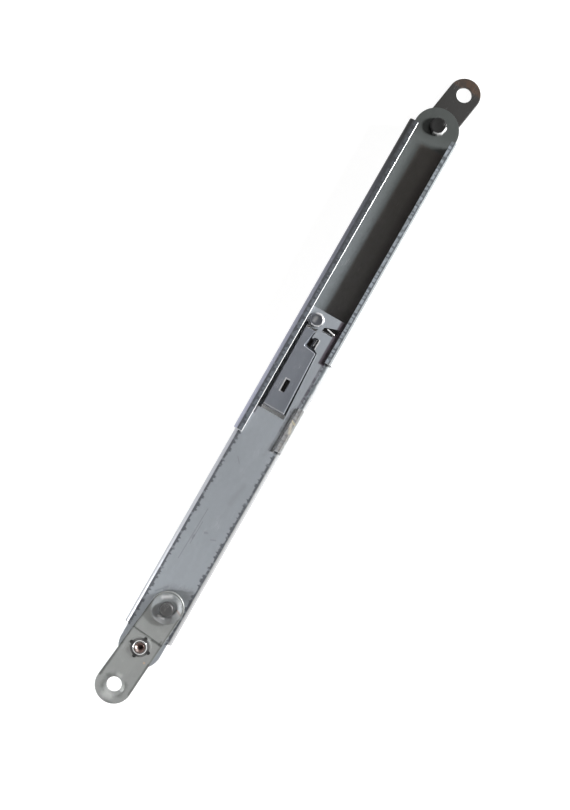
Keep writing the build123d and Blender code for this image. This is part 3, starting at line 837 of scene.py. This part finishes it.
@dataclass
class InnerArm(Assembly):
    """The sliding arm, its back uppermost."""

    edge: float = 0.09 * MM
    sash_mark: float = 13.6 * MM
    fold_start: float = 15.6 * MM
    fold_width: float = 1.75 * MM

    def build(self) -> None:
        """Builds the arm."""
        box = spans("inner_arm")
        satin = Finish(
            "inner_arm_steel", (0.37, 0.4, 0.435), (0.32, 0.345, 0.375), (0.75, 0.78, 0.82),
            roughness=0.4, mottle_scale=150, scratch_amount=0.2, scratch_share=0.3, edge_share=0.2,
            layers=(*self.wear_and_shadow(box), *self.folds(box), *self.shades(box)),
        )
        self.refine("inner_arm", "inner_arm_strip", satin, self.edge, 2)

    def wear_and_shadow(self, box: Box) -> Marks:
        """The scratches and smears, and the painted shadow that the sash link's tail and dish cast on the
        arm.
        """
        rows = (
            (38, 4.9, 63, 4.3, 0.35, 0.5), (46, 3.6, 57, 3.5, 0.3, 0.5), (48.5, 3.9, 50, 3.8, 0.8, 0.6),
            (53.2, 0.4, 53.6, -0.6, 0.9, 0.45), (51.8, -3.6, 52.6, -5.6, 0.6, 0.4),
            # painted shadow: the wedge beside the tail's dish and the line along its upper edge
            (23, -0.6, 24.4, -8.2, 5.6, 0.6), (25.6, -5.6, 26, -8.4, 4.4, 0.5),
            (22.8, 3.4, 27.6, -8, 0.8, 0.5), (20.5, 6.4, 24.6, 2.6, 0.8, 0.5),
            (87, 2.2, 89.5, 4.4, 0.3, 0.5), (96, -5.5, 103, -6.4, 1.8, 0.2), (70, -3, 79, -4.6, 2.4, 0.18),
        )
        return Stroke.at((box.low.x + self.sash_mark, box.middle.y), ((0.19, 0.2, 0.21), *rows))

    def folds(self, box: Box) -> Marks:
        """The two folds with their painted reflections, the upper one painted brighter than the lower."""
        ends, dark = (box.low.x + self.fold_start, box.high.x + MM), (0.07, 0.075, 0.085)
        upper = (1, (0.66, 0.68, 0.73), (0.6, 0.62, 0.69))
        lower = (-1, (0.42, 0.425, 0.43), (0.46, 0.475, 0.48))
        return tuple(
            Fold(box, side, self.fold_width, ends, near, far, dark, dark, 1.15 * MM, 0.9 * MM)
            for side, near, far in (upper, lower)
        )

    def shades(self, box: Box) -> Marks:
        """Painted shade where the lips and walls shadow the arm, painted light easing one shadow, painted
        highlights on the window's edge and the spring's hook, and a dark mark at the upper fold's sash end.
        """
        mouth = spans("outer_channel").low.x
        length, painted_shade = (box.high.x - mouth) / MM, (0.07, 0.06, 0.08)
        return (
            *Strip.at(
                (mouth, box.low.y),
                # painted light, easing the lower lip's shadow by the mouth
                ((0.7, 0.72, 0.76), (-1.5, 3, 20, 4.2, 0.2, 0.8, 0.6)),
                # painted shade: the lower lip's shadow by the mouth, past the notch and in it, and the fold's
                # shade in the notch
                ((0.15, 0.155, 0.17), (-1.5, 4.4, 20, 5.9, 0.4, 0.85, 0.5)),
                ((0.095, 0.078, 0.095), (42.5, 3.2, length, 5.8, 0.4, 0.95)),
                (painted_shade, (21, 2.8, 43.5, 4, 0.3, 0.8, 0.4)),
                ((0.2, 0.23, 0.25), (21, 1, 43.5, 2.6, 0.3, 0.8, 0.8)),
            ),
            # painted shade under the upper lip
            *Strip.at((mouth, box.high.y), (painted_shade, (10, -4.2, 57, 0, 0.4, 0.7))),
            # painted highlights on the window's lower edge and on the spring's hook
            *Stroke.at(
                (mouth, box.middle.y),
                ((0.75, 0.8, 0.85), (15, -4.3, 45.2, -3.4, 0.6, 0.55)),
                (grey(1), (47.2, -1.25, 51.2, -1.45, 0.8, 0.8)),
            ),
            *Stroke.at(
                (box.low.x + self.sash_mark, box.high.y),
                ((0.05, 0.06, 0.08), (2.5, -1.6, 2.5, 0, 0.8, 0.9)),
            ),
        )


@dataclass
class Latch(Assembly):
    """The sprung lever under the arm's window, and what it turns on."""

    edge: float = 0.1 * MM
    plate_under: float = 7.2 * MM
    rivet: Rivet = Rivet(
        "latch_pivot_rivet", ((2.5, 0), (2.5, 0.5), (1.6, 0.5)), 2.2, 1.3, 0.3, (1.54, 0.12), (0.4, 0.2)
    )
    wire: float = 0.55 * MM
    coil_radius: float = 3.2 * MM
    coil_pitch: float = 1.0 * MM
    coil_steps: int = 64
    wire_bend: float = 0.8 * MM
    tail: Pair = (-2.2 * MM, -10.05 * MM)
    tail_end: Pair = (-1.3 * MM, -6.0 * MM)
    hook: Pair = (-10.7 * MM, -4.2 * MM)
    hook_end: Pair = (-7.6 * MM, -4.5 * MM)
    bends_over: Pair = (-3.6 * MM, -7.3 * MM)
    lever_sheet: float = 1.0 * MM
    clear: float = 0.05 * MM

    def build(self) -> None:
        """Builds the lever, its rivet, its washers and its spring."""
        pivot = joint_point("latch_press")
        self.refine("latch_lever", "latch_lever_plate", self.lever_finish(pivot), self.edge, 2)
        steel = Finish(
            "rivet_steel", (0.15, 0.16, 0.185), (0.12, 0.125, 0.14), roughness=0.34, metallic=0.7,
            mottle_scale=600, edge_share=0.3, layers=self.ring(pivot),
        )
        self.turn("latch_pivot_rivet", "latch_rivet", self.rivet.profile(), "inner_arm", steel, 0.1 * MM)
        self.dress(frame["nodes"]["latch_spacer"], steel)
        self.dress(frame["nodes"]["latch_sleeve"], steel)
        self.spring(pivot)

    def ring(self, pivot: Vector) -> Marks:
        """The painted highlights round the rivet's head: a bright ring and a lighter spot on its flat."""
        return Stroke.at(
            pivot,
            (grey(0.8), (2.6, 1.7, 2.9, -0.6, 0.9, 0.7), (2.9, -0.6, 1.2, -2.7, 0.9, 0.7)),
            (grey(0.7), (1.2, -2.7, -0.6, -2.9, 0.7, 0.6), (-0.6, -2.9, -2.2, -2, 0.6, 0.5)),
            (grey(0.9), (-2.2, -2, -2.9, -0.4, 0.6, 0.6), (-2.9, -0.4, -2.7, 1.4, 0.5, 0.6)),
            (grey(0.6), (-1, 1, 0.6, 0.7, 1.4, 0.5)),
        )

    def lever_finish(self, pivot: Vector) -> Finish:
        """The lever's satin steel, with painted shade on the pad's lower part, painted light on the shadowed
        plate to the pad's left and at the neck, and painted highlights on the pad's and the tool slot's
        edges.
        """
        # painted shade on the pad's lower part
        shade = ((0.14, 0.15, 0.175), (-44, -9, -12, -4.5, 3, 0.6))
        # painted light on the plate seen in the shadow to the pad's left and at the neck
        lit_gaps = (grey(1), (-48, -9, -43.6, 3, 0.2, 1), (-6.5, -2, -3.4, 5, 0.2, 1))
        # painted highlights along the pad's lower and right edges
        rim = (
            (0.5, 0.52, 0.55), (-43.4, -7.7, -13.2, -6.5, 0.5, 0.25), (-13.2, -6.5, -12.5, -0.8, 0.5, 0.25),
        )
        # painted highlights on the pad's left edge and the tool slot's edges
        glints = (
            grey(0.7),
            (-43, 2.2, -43, -7.6, 0.4, 0.4), (-34.9, -0.95, -28.9, -0.85, 0.5, 0.8),
            (-28.75, -0.9, -28.75, -2.6, 0.4, 0.5), (-34.95, -0.9, -34.95, -2.4, 0.35, 0.4),
        )
        marks = Strip.at(pivot, shade) + Strip.at(pivot, lit_gaps, z=(0, self.plate_under))
        marks += Stroke.at(pivot, rim, glints)
        colours = (0.205, 0.22, 0.25), (0.175, 0.19, 0.215)
        return Finish("lever_steel", *colours, mottle_scale=90, edge_share=0.0, layers=marks)

    def spring(self, pivot: Vector) -> None:
        """Builds the hairpin spring as one round wire, from its tail round the coil to its hook."""
        route = self.spring_route(pivot)
        curve = bpy.data.curves.new("latch_spring_wire", "CURVE")
        curve.dimensions = "3D"
        curve.bevel_depth = self.wire / 2
        curve.bevel_resolution = 6
        curve.use_fill_caps = True
        line = curve.splines.new("POLY")
        line.points.add(len(route) - 1)
        for point, place in zip(line.points, route):
            point.co = (*place, 1.0)
        wire = bpy.data.objects.new("latch_spring_wire", curve)
        bpy.context.collection.objects.link(wire)
        make_active(wire)
        bpy.ops.object.convert(target="MESH")
        open_up(wire)
        close_up()
        bpy.ops.object.shade_smooth_by_angle(angle=radians(50))
        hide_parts("latch_spring")
        self.keep(wire, Finish("spring_steel", grey(0.9), grey(0.8), roughness=0.3, mottle_scale=900), None)
        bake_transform(wire)

    def spring_route(self, pivot: Vector) -> list[Vector]:
        """The spring's centreline, from its tail's end round the coil to its hook's end."""
        reach = self.clear + self.wire / 2
        lever_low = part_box("latch_lever")[0].z
        high = lever_low - reach
        start = self.leg_angle(self.tail, -1) + 2 * tau
        stop = self.leg_angle(self.hook, 1)
        low = high - self.coil_pitch * (start - stop) / tau
        tail_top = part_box("inner_arm")[1].z - self.wire / 2
        hook_top = lever_low + self.lever_sheet + reach
        corners = [(*self.tail_end, tail_top), (*self.tail, tail_top), (*self.tail, low)]
        for share in shares(self.coil_steps):
            angle = start + (stop - start) * share
            x, y = self.coil_radius * cos(angle), self.coil_radius * sin(angle)
            corners.append((x, y, low + (high - low) * share))
        corners += [(*self.hook, high), (*self.hook, hook_top), (*self.hook_end, hook_top)]
        return rounded([Vector(corner) + Vector((pivot.x, pivot.y, 0)) for corner in corners], self.wire_bend)

    def leg_angle(self, place: Pair, side: int) -> float:
        """Where a straight leg to a place leaves the coil, on one side or the other."""
        return atan2(place[1], place[0]) + side * acos(self.coil_radius / hypot(*place))


@dataclass
class SashEnd(Assembly):
    """The fixing link at the sash, its polished pivot and the friction fittings on its tail."""

    edge: float = 0.14 * MM
    stud_shank: float = 2.5 * MM
    stud_neck: float = 1.6 * MM
    stud_foot: float = 1.0 * MM
    dome: float = 2.3 * MM
    collar_bore: float = 1.62 * MM
    tail_rivet: Rivet = Rivet("tail_rivet", ((2.6, 0), (1.8, 0.7)), 2.5, 2.4, 0.6, (1.875, 0.08), (0.4, 0.1))
    dish_bore: float = 1.82 * MM
    dish_sheet: float = 0.5 * MM
    dish_seat: float = 3.6 * MM
    dish_steps: int = 8
    dish_curve: float = 1.15

    def build(self) -> None:
        """Builds the link and each fitting on it."""
        pivot = joint_point("sash_pivot")
        self.refine("sash_link", "sash_link_plate", self.link_finish(pivot), self.edge)
        self.stud(pivot)
        self.collar()
        self.bush(pivot)
        dark = Finish(
            "tail_rivet_steel", grey(0.1), grey(0.075), roughness=0.4, metallic=0.6, mottle_scale=500,
            edge_share=0.2, slot="dark_rivet_steel",
        )
        self.turn("tail_rivet", "tail_button", self.tail_rivet.profile(), "sash_link", dark)
        self.dish_washer()

    def link_finish(self, pivot: Vector) -> Finish:
        """The satin link, with painted shade along its long edges, at its step and on the countersink,
        painted highlights on the countersink, a worn darker end and a rust spot.
        """
        low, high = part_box("sash_link")
        worn = Strip((low.x, low.y), (low.x + 1.2 * MM, high.y), 0.8 * MM, grey(0.12), 0.5, 0.5)
        place = (pivot.x - 5.2 * MM, pivot.y - 5.0 * MM, high.z - 0.5 * MM)
        # Painted shade along the link's long edges, at its step and on the countersink's slopes.
        dark = (
            (0.075, 0.08, 0.078),
            (-18.5, 9.4, -2, 8, 1.1, 0.85), (-2, 8, 21, 5.5, 1, 0.85), (-20.5, -6, -5, -7, 0.8, 0.7),
            (-5, -7, 19.5, -8.7, 0.6, 0.5), (6.6, 7, 6, 1, 0.5, 0.55), (5.2, -3, 4.8, -7.6, 0.8, 0.8),
            (4.8, -6.6, 6.8, -6.9, 0.6, 0.6), (-22.4, 5.9, -17.6, 5.6, 2.2, 0.5),
            (-22.6, -2.2, -17.6, -2.4, 2.4, 0.5), (-17.4, 5.2, -16.2, 3.6, 2.4, 0.4),
        )
        # Painted highlights on the countersink.
        bright = (grey(0.75), (-25.3, 3.2, -25.1, 1, 2.6, 0.35), (-15.2, 2.2, -15.2, 1.2, 1.8, 0.25))
        rust = Spot(place, 0.9 * MM, (0.8, 0.45, 0.2), 0.8)
        return Finish(
            "sash_link_steel", (0.3, 0.31, 0.305), (0.25, 0.26, 0.255), grey(0.5),
            mottle_scale=110, edge_share=0.35, layers=(worn, rust, *Stroke.at(pivot, dark, bright)),
        )

    def stud(self, pivot: Vector) -> None:
        """Builds the polished stud, with painted reflections on its dome: the room's brown over it, a pink
        highlight and a dark patch.
        """
        box, collar = spans("sash_pivot_stud"), spans("sash_pivot_collar")
        under, over, step = collar.low.z, collar.high.z, box.low.z + self.stud_foot
        profile = [(box.half, box.low.z), (box.half, step), (self.stud_shank, step), (self.stud_shank, under)]
        profile += [(self.stud_neck, under), (self.stud_neck, over), (self.dome, over)]
        profile += crown(self.dome, 0.15 * MM, over + 0.15 * MM, box.high.z, 16)
        # painted highlight in pink, and a painted dark reflection
        light = ((0.8, 0.66, 0.62), (-1.2, 0.4, -0.2, 1.2, 1.2, 0.8))
        brown = ((0.015, 0.008, 0.006), (0.4, -0.4, 1.3, -1, 1.7, 1))
        # The dome's brown is the room's colour, painted as a reflection.
        polished = Finish(
            "polished_dome", (0.13, 0.085, 0.075), (0.08, 0.05, 0.045), (0.9, 0.8, 0.78),
            roughness=0.16, metallic=0.8, mottle_share=0.4, scratch_share=0.1, grain_depth=0.002 * MM,
            layers=Stroke.at(pivot, light, brown), slot="polished_stud",
        )
        self.turn("sash_pivot_stud", "sash_stud", profile, "inner_arm", polished, 0.06 * MM)

    def collar(self) -> None:
        """Builds the bright washer under the dome, with a rounded rim."""
        box, bore = spans("sash_pivot_collar"), self.collar_bore
        outer, low, top = box.half, box.low.z, box.high.z
        profile = [(bore, low), (outer, low)] + crown(outer, outer - 0.5 * MM, low + 0.1 * MM, top, 8)
        profile += [(outer - 0.75 * MM, top - 0.05 * MM), (bore, top - 0.02 * MM)]
        chrome = Finish(
            "polished_stud", grey(0.85), grey(0.8), roughness=0.1, metallic=0.9, mottle_share=0.2,
            scratch_share=0.1, grain_depth=0.002 * MM,
        )
        self.turn(
            "sash_pivot_collar", "sash_collar", profile, "inner_arm", chrome, 0.04 * MM, 2, 50, bored=True
        )

    def bush(self, pivot: Vector) -> None:
        """Builds the bush, black on its four lugs, and dresses the friction pad."""
        places = ((0.35, 4.0), (-4.0, 0.35), (4.0, -0.35), (-0.35, -4.0))
        lugs = Stroke.at(pivot, (grey(0.002), *((a, b, 1.3 * a, 1.3 * b, 2.4, 1) for a, b in places)))
        black = Finish(
            "black_bush", grey(0.09), grey(0.12), grey(0.2), roughness=0.6, metallic=0.0,
            mottle_scale=900, layers=lugs,
        )
        self.refine("sash_pivot_bush", "sash_bush", black, body="sash_link")
        self.dress(frame["nodes"]["tail_pad"], black)

    def dish_washer(self) -> None:
        """Builds the dished spring washer, hollow side up."""
        box = spans("tail_dish_washer")
        low, width = box.low.z, box.half - self.dish_seat
        rise = box.high.z - low - self.dish_sheet
        steps, curve = shares(self.dish_steps), self.dish_curve
        under = [(self.dish_seat + width * share, low + rise * share**curve) for share in steps]
        over = [(radius, height + self.dish_sheet) for radius, height in under]
        profile = [(self.dish_bore, low)] + under + over[::-1] + [(self.dish_bore, low + self.dish_sheet)]
        # One rust streak, then painted shade and painted highlights round the dish's slopes and its button.
        stain_and_shading = Stroke.at(
            box.middle,
            ((0.25, 0.12, 0.08), (1.5, -4, 0.6, -6.2, 0.5, 0.7)),
            (grey(0.2), (-6.2, 1.5, -3, 5.4, 3, 0.4), (-6.4, 1, -5, -3.6, 3, 0.45)),
            (grey(0.9), (-4.3, 1.8, -4.4, -0.8, 0.8, 0.7)),
            (grey(0.03), (-3.9, -0.4, -2.6, -2.8, 1.5, 0.75)),
            (grey(0.05), (-2.6, -2.8, 0.6, -3.6, 1.3, 0.6)),
            (grey(0.1), (-4.8, -3.2, 0.6, -6, 3.4, 0.65)),
            (grey(0.85), (3.6, 4, 5.6, 1, 1.5, 0.5)),
            (grey(0.6), (4, -4.2, 5.4, -2.6, 1.2, 0.3)),
        )
        colours = (0.3, 0.32, 0.33), (0.22, 0.23, 0.235)
        steel = Finish("dished_washer_steel", *colours, roughness=0.44, mottle_scale=420, layers=stain_and_shading)
        self.turn("tail_dish_washer", "tail_spring_washer", profile, "sash_link", steel, bored=True)


@dataclass(frozen=True)
class Lamp:
    """A soft rectangular lamp, aimed at a point of the arm."""

    name: str
    place: tuple[float, float, float]
    aim: tuple[float, float, float]
    size: Pair
    power: float
    spread: float = 180

    def build(self) -> None:
        """Hangs the lamp and aims it."""
        bpy.ops.object.light_add(type="AREA", location=self.place)
        lamp = bpy.context.object
        lamp.name = self.name
        lamp.data.shape = "RECTANGLE"
        lamp.data.size, lamp.data.size_y = self.size
        lamp.data.energy = self.power
        lamp.data.spread = radians(self.spread)
        lamp.rotation_euler = (Vector(self.aim) - Vector(self.place)).to_track_quat("-Z", "Y").to_euler()


@dataclass
class Studio:
    """The pale floor, the soft lamps and the camera over the arm."""

    photo_height: int = 810
    pixel: float = 0.437 * MM
    from_mouth: float = 19.46 * MM
    from_centreline: float = -2.4 * MM
    lean: float = radians(60.2)
    camera_height: float = 0.36
    sensor: float = 24.0
    cove_radius: float = 2.6
    cove_flat: float = 0.7
    cove_rise: float = 1.6
    cove_steps: int = 8
    world_level: float = 0.075
    lamps: tuple[Lamp, ...] = (
        Lamp("key", (0.17, -0.45, 0.242), (-0.1, 0, 0), (0.12, 0.075), 9.9),
        Lamp("sash_lamp", (-0.42, 0.2, 0.25), (-0.29, 0, 0), (0.1, 0.1), 0.06, 50),
    )

    def build(self) -> None:
        """Sets up the world, the floor, the lamps and the camera."""
        self.world()
        self.cove()
        for lamp in self.lamps:
            lamp.build()
        self.camera()

    def world(self) -> None:
        """A plain dim world, a little warm."""
        world = bpy.data.worlds.new("studio_air")
        world.use_nodes = True
        background = world.node_tree.nodes["Background"]
        background.inputs["Color"].default_value = (1.0, 0.9, 0.8, 1.0)
        background.inputs["Strength"].default_value = self.world_level
        bpy.context.scene.world = world

    def cove(self) -> None:
        """A pale floor that turns up into a backdrop all round."""
        rings = []
        for angle in (pi / 2 * share for share in shares(self.cove_steps)):
            radius = self.cove_radius * (self.cove_flat + (1 - self.cove_flat) * sin(angle))
            rings.append((radius, self.cove_radius * self.cove_rise * (1 - cos(angle))))
        cove = raised("cove", Vector(), rings, 128, bored=False)
        close_up(inside=True)
        bpy.ops.object.shade_smooth_by_angle(angle=radians(40))
        cove.data.materials.append(self.cove_material())

    def cove_material(self) -> bpy.types.Material:
        """White to the camera and in reflections, and pale to soft light, with the arm's shadow kept."""
        material, graph = blank_material("pale_floor")
        path = graph.add("ShaderNodeLightPath").outputs
        seen = graph.maths("ADD", path["Is Camera Ray"], path["Is Glossy Ray"])
        seen = graph.maths("ADD", seen, path["Is Transmission Ray"], clamp=True)
        diffuse = graph.add("ShaderNodeBsdfDiffuse", {"Color": graph.mixed(seen, grey(0.8), grey(0.22))})
        strength = graph.times(seen, 0.97)
        glow = graph.add("ShaderNodeEmission", {"Color": grey(1), "Strength": strength})
        both = graph.add("ShaderNodeAddShader", {0: diffuse.outputs[0], 1: glow.outputs[0]})
        graph.add("ShaderNodeOutputMaterial", {"Surface": both.outputs[0]})
        return material

    def camera(self) -> None:
        """A camera straight above the arm, turned so that the arm leans as pictured."""
        data = bpy.data.cameras.new("portrait")
        data.sensor_fit = "VERTICAL"
        data.sensor_height = self.sensor
        box = spans("outer_channel")
        data.lens = self.sensor * (self.camera_height - box.high.z) / (self.photo_height * self.pixel)
        data.clip_end = 10.0
        camera = bpy.data.objects.new("portrait", data)
        x, y = box.low.x + self.from_mouth, box.middle.y + self.from_centreline
        camera.location = (x, y, self.camera_height)
        camera.rotation_euler = (0, 0, -self.lean)
        bpy.context.collection.objects.link(camera)
        bpy.context.scene.camera = camera


def main() -> None:
    """Builds the arm's sub-assemblies in order, and then the studio."""
    logging.basicConfig(level=logging.INFO, format="%(name)s: %(message)s")
    bpy.context.scene.view_settings.view_transform = "Standard"
    for assembly in (FrameEnd(), OuterChannel(), InnerArm(), Latch(), SashEnd()):
        assembly.build()
        for name in assembly.made:
            log.info("%s: %s", type(assembly).__name__, name)
    Studio().build()


if __name__ == "__main__":
    main()
